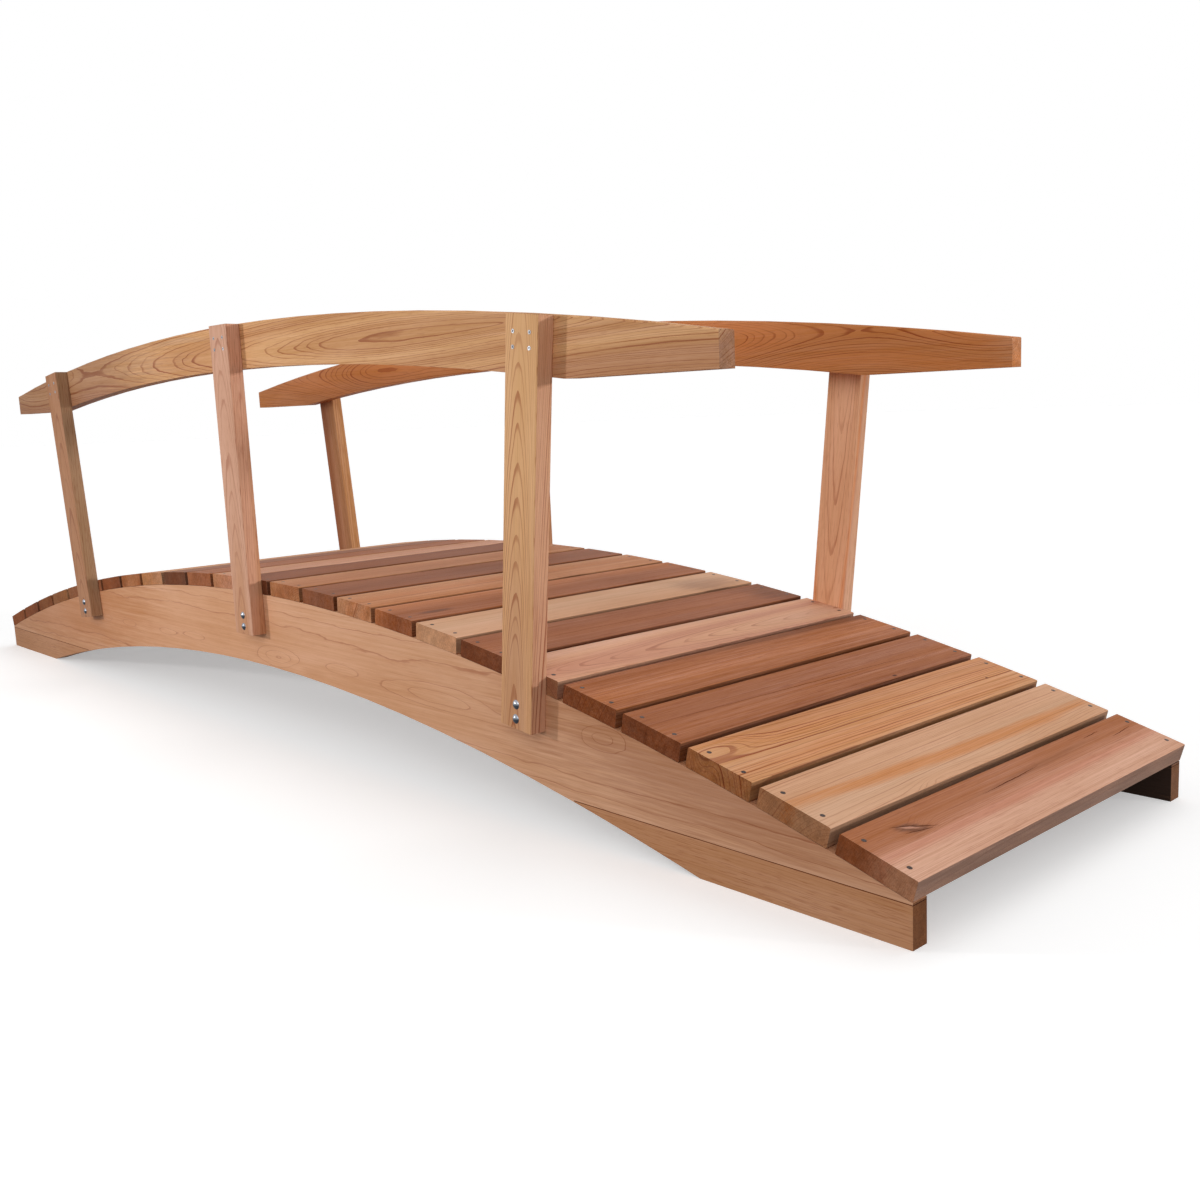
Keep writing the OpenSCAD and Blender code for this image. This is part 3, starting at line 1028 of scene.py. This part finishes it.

# %% [markdown]
# ## Beams, posts and handrails
#
# These were picked from clearer wood. The beams are pale and salmon, cut low in the log so that
# contour lines and small eyes run along their middle. The handrails are more golden, with
# rings that draw together towards their ends. The near right post has narrow arches up its front.
#
# The feet are short pieces glued below the beams' ends, and each draws the fine dark seam along its
# upper edge. The far right end stands in deep shade and looks nearly black from inside, so a
# near-black painted shade lies over the beam and foot there, and spares most of the sawn end.

# %% The carpentry
FOOT_SEAM = [(21.3, 0.9)]
# The plain feet's end tone is end grain darkened further as painted shade.
PLAIN_FOOT = Cut(
    ["tan", "tan", "tan"], ring=2.6, line=0.4, streak=0.12, end=END_DEEP_SHADED, seams=FOOT_SEAM
)
FRAME_CUTS = {
    "front_beam": Cut(
        ["peach", "tan", "peach", "tan", "peach"],
        heart=(-4, -402), slant=(0.0, 0.0), ring=4.0, line=0.8, share=0.10, wander=5,
        ripple=2.0, streak=0.16, dashes=0.1, end=END_DEEP_SHADED,
        swellings=[
            (249, -1, 5, 46, 8),
            (60, -4, 9, 60, 13),
            (160, -14, -4, 60, 8),
            (490, -6, 9, 120, 14),
            (640, -16, 5, 90, 8),
            (812, -6, 9, 40, 14),
            (-245, -3, 5, 70, 9),
            (-358, -8, 5, 40, 7),
            (-524, -10, 5, 40, 7),
            (-630, -10, 5, 20, 6),
        ],
        stains_and_shade=[
            ("amber", 0.50, -900, 0, 600, 120, 0, 0),
            ("orange", 0.24, -100, 0, 900, 120, 0, 0),
            ("brown", 0.55, 1100, 0, 500, 120, 0, 0),
        ],
    ),
    "back_beam": Cut(
        ["tan", "rose", "salmon"],
        heart=(10, -400), ring=5.0, line=0.8, share=0.1, wander=9, streak=0.14, end=END_LIGHT,
        # A near-black painted shade over the far right end.
        stains_and_shade=[("painted shade", 0.97, -1230, -50, 140, 90, 0, 0)],
        end_spared=0.35,
    ),
    "front_foot_left": PLAIN_FOOT,
    "front_foot_right": PLAIN_FOOT,
    "back_foot_left": PLAIN_FOOT,
    "back_foot_right": Cut(
        ["tan", "salmon", "tan"],
        ring=2.6, line=0.4, streak=0.12, end=END_LIGHT,
        # A near-black painted shade over the far right end.
        stains_and_shade=[("painted shade", 0.97, -170, 0, 230, 90, 0, 0)],
        end_spared=0.35,
        seams=FOOT_SEAM,
    ),
    "front_handrail": Cut(
        ["honey", "straw", "honey", "honey", "straw", "honey", "tan"],
        heart=(10, -21.5), slant=(0.0, 0.05), ring=3.0, line=1.0, share=0.24, wander=6,
        ripple=2.2, streak=0.2, dashes=0.2, end=END_ROSE,
        swellings=[(-950, 0, -38, 260, 160), (900, 0, 24, 330, 200)],
        stains_and_shade=[
            ("russet", 0.6, 430, 13, 50, 4, 0, 0),
            ("cream", 0.5, -190, 44, 130, 5, 0, -6),
            ("grey brown", 0.55, -800, 0, 620, 140, 0, 0),
        ],
    ),
    "back_handrail": Cut(
        ["marigold", "marigold", "orange", "marigold", "orange"],
        heart=(6, 0), slant=(0.0, 0.05), ring=3.0, line=0.9, share=0.25, wander=7, streak=0.12,
        dashes=0.2, end=END_PALE,
        swellings=[(-470, 6, -20, 150, 160), (-1010, 6, -34, 150, 160), (480, 0, -22, 200, 160)],
        stains_and_shade=[("amber", 0.5, 700, 0, 420, 80, 0, 0), ("peach", 0.75, -1120, 0, 150, 90, 0, 0)],
    ),
    # The posts' edge tints are painted light: they make the narrow sides cooler, as those faces are
    # lit.
    "front_post_left": Cut(
        ["tan", "tan", "tan"],
        heart=(0, -40), slant=(0, -0.05), line=0.6, streak=0.12, edge=srgb(230, 250, 255),
        stains_and_shade=[("grey brown", 0.3, 0, 0, 2000, 200, 0, 0)],
    ),
    "front_post_middle": Cut(
        ["tan", "salmon", "salmon"],
        heart=(5, -40), slant=(0, -0.05), line=0.6, streak=0.12, edge=srgb(255, 248, 243),
    ),
    "front_post_right": Cut(
        ["honey", "pale", "straw", "straw", "straw"],
        heart=(4, -21), slant=(0, -0.05), edge=srgb(236, 230, 255),
        stains_and_shade=[("tan", 0.45, -190, 0, 260, 60, 0, 0)],
        ring=1.8, line=0.8, share=0.34, wander=3, ripple=1.0, streak=0.1, dashes=0.15,
    ),
    "back_post_left": Cut(["brown", "tan", "honey"], heart=(-80, -60), line=0.6),
    "back_post_middle": Cut(["tan", "salmon", "tan"], heart=(-80, -60), line=0.6),
    "back_post_right": Cut(
        ["peach", "marigold", "salmon", "peach"],
        heart=(0, -40), slant=(0, 0.04), line=0.6, streak=0.12, edge=srgb(255, 254, 255),
    ),
}
for index, (name, cut) in enumerate(FRAME_CUTS.items()):
    dress(name, cut, seed=200 + index * 9.1)
print(len(FRAME_CUTS), "boards of the frame dressed")

# %% [markdown]
# ## Plated steel
#
# The bolts and screws are steel with a thin zinc skin. Zinc is grey with a cold tinge, and it dulls
# in clouds: a mix of two noises, one as large as a screw's head, so that one head is bright and the
# next is dull, and one for the fine scratches. The lower half of a bolt's dome is painted dark, a
# painted dark reflection on the side that looks down: the group draws it with an input of its own,
# and the flat screws have none. The recess of a screw is painted darker, as painted shade that makes
# a shallow recess look deep, and where a screw was driven below the wood, a dark rim of painted hole
# shade stands round it. The same group serves the steel and its dark parts, with other colours.

# %% Group: plated steel, and the metals
HEADS_SCALE = 31.0
SCRATCHES_SCALE = 1400.0
SCRATCHES_SHARE = 0.35
# Near-black tone of the painted dark reflection on the domes' lower halves.
PAINTED_REFLECTION_TONE = (0.020, 0.026, 0.036, 1)
SCRATCH_DEPTH = 0.0001
plate_tree, into, out = new_group(
    "Plated Steel",
    [
        ("Bright", "Color", (0.7, 0.7, 0.7, 1)),
        ("Dull", "Color", (0.4, 0.4, 0.4, 1)),
        *numbers(Grime=0.0),
    ],
    [("Color", "Color"), ("Roughness", "Float"), ("Height", "Float")],
)
spot = add(plate_tree, "TexCoord").outputs["Object"]
inputs = {"Vector": spot, "Scale": HEADS_SCALE, "Detail": 1.0}
heads = add(plate_tree, "TexNoise", inputs).outputs["Fac"]
inputs = {"Vector": spot, "Scale": SCRATCHES_SCALE, "Detail": 3.0, "Roughness": 0.7}
scratches = add(plate_tree, "TexNoise", inputs).outputs["Fac"]
heads = maths(plate_tree, "MULTIPLY", heads, 1 - SCRATCHES_SHARE)
dulled = maths(plate_tree, "MULTIPLY_ADD", scratches, SCRATCHES_SHARE, heads)
dulled = remap(plate_tree, dulled, 0.38, 0.62)
plated_tone = blend_colours(plate_tree, "MIX", dulled, into["Bright"], into["Dull"])
outwards = add(plate_tree, "TexCoord").outputs["Normal"]
looks_up = add(plate_tree, "SeparateXYZ", {0: outwards}).outputs["Z"]
# Painted dark reflection: where a surface looks down, its tone is mixed towards near-black.
below = remap(plate_tree, looks_up, 0.40, -0.15, 0, 1, smooth=True)
painted_reflection = maths(plate_tree, "MULTIPLY", below, into["Grime"])
plated_tone = blend_colours(plate_tree, "MIX", painted_reflection, plated_tone, PAINTED_REFLECTION_TONE)
plate_tree.links.new(plated_tone, out["Color"])
plate_tree.links.new(remap(plate_tree, dulled, 0, 1, 0.26, 0.46), out["Roughness"])
plate_tree.links.new(scratches, out["Height"])


def plated(name, bright, dull, metallic, worn=0.0, painted_reflection=0.0):
    """Steel, or a dark part of it, that is dulled in places. Worn steel is rougher all over."""
    material, tree, shader = new_material(name)
    skin = place_group(tree, plate_tree, {"Bright": bright, "Dull": dull, "Grime": painted_reflection})
    inputs = {"Strength": 0.3, "Distance": SCRATCH_DEPTH, "Height": skin["Height"]}
    bump = add(tree, "Bump", inputs)
    tree.links.new(skin["Color"], shader.inputs["Base Color"])
    rough = maths(tree, "ADD", skin["Roughness"], worn)
    tree.links.new(rough, shader.inputs["Roughness"])
    tree.links.new(bump.outputs["Normal"], shader.inputs["Normal"])
    shader.inputs["Metallic"].default_value = metallic
    shader.inputs["Specular IOR Level"].default_value = 0.5 if metallic > 0.5 else DRY_WOOD_SHEEN
    return material


# Zinc takes the painted dark reflection on the lower half of each dome.
zinc = plated("zinc plated steel", srgb(172, 176, 184), srgb(112, 118, 128), 1.0, painted_reflection=0.95)
# Three finishes are darkened as painted shade: the dark recess in a screw's cross, which also
# colours the bolts' thread ends, the rim round a sunk screw, and that screw's head.
dark_steel = plated("dark recess", srgb(60, 52, 50), srgb(36, 30, 28), 0.6)
hole_shade = plated("painted hole shade", srgb(84, 50, 34), srgb(52, 32, 22), 0.0)
shaded_head_steel = plated("shaded head steel", srgb(82, 68, 62), srgb(44, 34, 30), 0.25, worn=0.25)
screw_steel = plated("screw steel", srgb(186, 188, 192), srgb(132, 132, 136), 1.0, worn=0.25)
METALS = (zinc, dark_steel, hole_shade, shaded_head_steel, screw_steel)
STEEL, RECESS, HOLE_SHADE, SHADED_HEAD, SCREW = range(5)
print(len(METALS), "finishes for the fasteners")

# %% [markdown]
# ## Turned parts
#
# A bolt's head, a washer and a screw are all turned on a lathe: a profile, spun round an axis. The
# profile is a list of points, each with its distance from the axis and its height above the wood,
# in millimetres. Neighbouring rings of points are joined by faces, and the first and the last
# point lie on the axis, so that the skin is closed. With six sides instead of many, the same
# function makes a nut. A frame, which is a matrix, stands the part on the wood.

# %% Turned parts
ROUND = 28  # sides of a round part


def stand_on(place, outward, up):
    """The frame of a part that stands on a face of the wood, with its axis pointing outward."""
    side = up.cross(outward).normalized()
    turned = Matrix((side, outward.cross(side), outward)).transposed()
    return Matrix.Translation(place) @ turned.to_4x4()


def ring_of(mesh, frame, radius, height, sides):
    """A ring of points round the axis, or a single point on it."""
    count = sides if radius else 1
    turns = (2 * math.pi * index / count for index in range(count))
    spots = (Vector((radius * math.cos(a), radius * math.sin(a), height)) / 1000 for a in turns)
    return [mesh.verts.new(frame @ spot) for spot in spots]


def join_rings(mesh, lower, upper, finish, smooth):
    """Faces between two rings. A ring of one point gives triangles."""
    count = max(len(lower), len(upper))
    for index in range(count):
        after = (index + 1) % count
        corners = [lower[index % len(lower)], lower[after % len(lower)]]
        corners += [upper[after % len(upper)], upper[index % len(upper)]]
        face = mesh.faces.new(list(dict.fromkeys(corners)))
        face.material_index = finish
        face.smooth = smooth


def turn(mesh, frame, profile, sides=ROUND, finish=STEEL, smooth=False):
    """Spins a profile of (radius, height) points round the frame's axis. Returns its rings."""
    rings = [ring_of(mesh, frame, radius, height, sides) for radius, height in profile]
    for lower, upper in zip(rings, rings[1:]):
        join_rings(mesh, lower, upper, finish, smooth)
    return rings


def make_piece(name, mesh):
    """Turns the finished bmesh into a piece of the bridge, with all the finishes."""
    bmesh.ops.recalc_face_normals(mesh, faces=mesh.faces)
    data = bpy.data.meshes.new(name)
    mesh.to_mesh(data)
    mesh.free()
    for finish in METALS:
        data.materials.append(finish)
    piece = bpy.data.objects.new(name, data)
    bpy.context.scene.collection.objects.link(piece)
    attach(piece, "root")
    print(name, len(data.polygons), "faces")


# %% [markdown]
# ## Carriage bolts
#
# Two bolts hold each post to its beam. Outside they show only a low dome, because a square
# neck under it bites into the wood. Inside, on the beam's hidden face, each has a washer, a nut and
# the end of its thread. They stand on the post's centre line, close to its lower end.

# %% Carriage bolts
BOLT_HEIGHTS = (12.0, 29.5)
DOME_RADIUS = 5.8
DOME_HEIGHT = 2.8
DOME_STEPS = 8
SUNK = 1.0  # how far a part reaches into the wood
WASHER = [(0, -0.5), (8.6, -0.5), (9, -0.2), (9, 1.1), (8.8, 1.3), (0, 1.3)]
NUT = [(0, 1.2), (5.2, 1.2), (5.8, 1.7), (5.8, 5.6), (5.2, 6.2), (0, 6.2)]
THREAD_END = [(0, 6), (3, 6), (3, 8.4), (2.5, 8.9), (0, 8.9)]
BEAM_BEHIND_POST = 0.022
POSTS = [name for name in boards if "post" in name]


def post_spot(name, along, across, from_top=False):
    """A point on a post's outer face, so many millimetres from its lower or upper end."""
    grain, sideways, face, middle = board_axes(name)
    half_length, half_width, half_depth = half_size(name)
    end = half_length - along / 1000 if from_top else along / 1000 - half_length
    return middle + grain * end + sideways * across / 1000 + face * half_depth


sphere = (DOME_RADIUS**2 + DOME_HEIGHT**2) / (2 * DOME_HEIGHT)
slices = [DOME_RADIUS * math.cos(math.pi / 2 * step / DOME_STEPS) for step in range(DOME_STEPS)]
dome = [(r, math.sqrt(sphere**2 - r**2) - sphere + DOME_HEIGHT) for r in (*slices, 0)]

bolt_mesh = bmesh.new()
nut_mesh = bmesh.new()
for name in POSTS:
    grain, across, face, middle = board_axes(name)
    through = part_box(name)[1].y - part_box(name)[0].y + BEAM_BEHIND_POST
    for height in BOLT_HEIGHTS:
        spot = post_spot(name, height, 0)
        outside = stand_on(spot, face, grain)
        under = [(0, -SUNK), (DOME_RADIUS - 0.3, -SUNK)]
        turn(bolt_mesh, outside, [*under, *dome], smooth=True)
        inside = stand_on(spot - face * through, -face, grain)
        turn(nut_mesh, inside, WASHER)
        turn(nut_mesh, inside, NUT, sides=6)
        turn(nut_mesh, inside, THREAD_END, finish=RECESS)
make_piece("carriage_bolts", bolt_mesh)
make_piece("bolt_nuts", nut_mesh)

# %% [markdown]
# ## Screws with a cross recess
#
# A screw's head is turned too, but its top is not: a cross is pressed into it for the driver. The
# ring on the head's rim and the cross's outline are both closed loops, and `triangle_fill` fills the
# flat between them. The cross then goes down by its walls to a smaller floor, which must stay above
# the board's face, because the board has no hole: a dark finish, painted shade, makes it look deep.
#
# The four screws on each post's upper end sit flush and shine. Those in the treads were driven a
# little deeper, so each is a small dark oval. Real holes would have to be cut into the boards, so a
# dark rim, a tenth of a millimetre high, and a darkened head are painted as the shade of a hole,
# which gives the same look.

# %% Screws
POST_SCREWS = [(19, -14.5), (19, 14.5), (36, -14.5), (36, 14.5)]
TREAD_SCREW_ALONG = 268.5
TREAD_SCREW_ACROSS = 25.0
POST_SCREW = {"radius": 2.4, "proud": 0.4}
TREAD_SCREW = {"radius": 1.9, "proud": 0.06, "rim": 0.9}
STRAY = 1.5  # how far off its mark a tread screw may be


def cross_outline(mesh, frame, arm, breadth, height):
    """The twelve corners of a cross with four arms."""
    quarter = [(arm, -breadth), (arm, breadth), (breadth, breadth)]
    corners = []
    for turns in range(4):
        s, c = math.sin(turns * math.pi / 2), math.cos(turns * math.pi / 2)
        corners += [(x * c - y * s, x * s + y * c) for x, y in quarter]
    return [mesh.verts.new(frame @ (Vector((x, y, height)) / 1000)) for x, y in corners]


def loop_edges(mesh, loop):
    """The edges round a closed loop of points."""
    pairs = zip(loop, loop[1:] + loop[:1])
    return [mesh.edges.get(pair) or mesh.edges.new(pair) for pair in pairs]


def add_screw(mesh, frame, radius, proud, rim=0.0):
    """A flat screw head. With a rim, its ring and head are painted as the shade of a hole."""
    arm, breadth, depth = radius * 0.55, radius * 0.20, proud * 0.85
    outer = radius + rim
    lip = 0.12 if rim else proud
    # A sunk screw's rim, bevel and head are painted as the shade of its hole.
    side, bevel, flat = (HOLE_SHADE, RECESS, SHADED_HEAD) if rim else (SCREW, SCREW, SCREW)
    under = [(0, -SUNK), (outer - 0.3, -SUNK), (outer, 0.02)]
    skin = turn(mesh, frame, under, finish=side)
    edge = ring_of(mesh, frame, radius, lip, ROUND)
    join_rings(mesh, skin[-1], edge, side, False)
    top = ring_of(mesh, frame, radius - 0.2, proud, ROUND)
    join_rings(mesh, edge, top, bevel, False)
    mouth = cross_outline(mesh, frame, arm, breadth, proud)
    loops = loop_edges(mesh, top) + loop_edges(mesh, mouth)
    filled = bmesh.ops.triangle_fill(mesh, use_beauty=True, edges=loops)
    for face in filled["geom"]:
        if isinstance(face, bmesh.types.BMFace):
            face.material_index = flat
    # The cross's walls and floor take the dark finish, painted shade of a deep recess.
    floor_loop = cross_outline(mesh, frame, arm * 0.6, breadth * 0.6, proud - depth)
    join_rings(mesh, mouth, floor_loop, RECESS, False)
    mesh.faces.new(floor_loop).material_index = RECESS


screws = random.Random(4)
post_screw_mesh = bmesh.new()
for name in POSTS:
    grain, across, face, middle = board_axes(name)
    for below_top, aside in POST_SCREWS:
        turned = Matrix.Rotation(screws.uniform(0, math.pi), 4, "Z")
        spot = post_spot(name, below_top, aside, from_top=True)
        add_screw(post_screw_mesh, stand_on(spot, face, grain) @ turned, **POST_SCREW)
make_piece("post_screws", post_screw_mesh)

tread_screw_mesh = bmesh.new()
for name in boards:
    if not name.startswith("tread"):
        continue
    grain, across, face, middle = board_axes(name)
    half_length, half_width, half_depth = half_size(name)
    for end in (-1, 1):
        for side in (-1, 1):
            along = end * TREAD_SCREW_ALONG + screws.uniform(-STRAY, STRAY)
            aside = side * TREAD_SCREW_ACROSS + screws.uniform(-STRAY, STRAY)
            spot = middle + grain * along / 1000 + across * aside / 1000 + face * half_depth
            turned = Matrix.Rotation(screws.uniform(0, math.pi), 4, "Z")
            add_screw(tread_screw_mesh, stand_on(spot, face, grain) @ turned, **TREAD_SCREW)
make_piece("tread_screws", tread_screw_mesh)

# %% Size and finish
low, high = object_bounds()
print("box", [round(b - a, 4) for a, b in zip(low, high)])
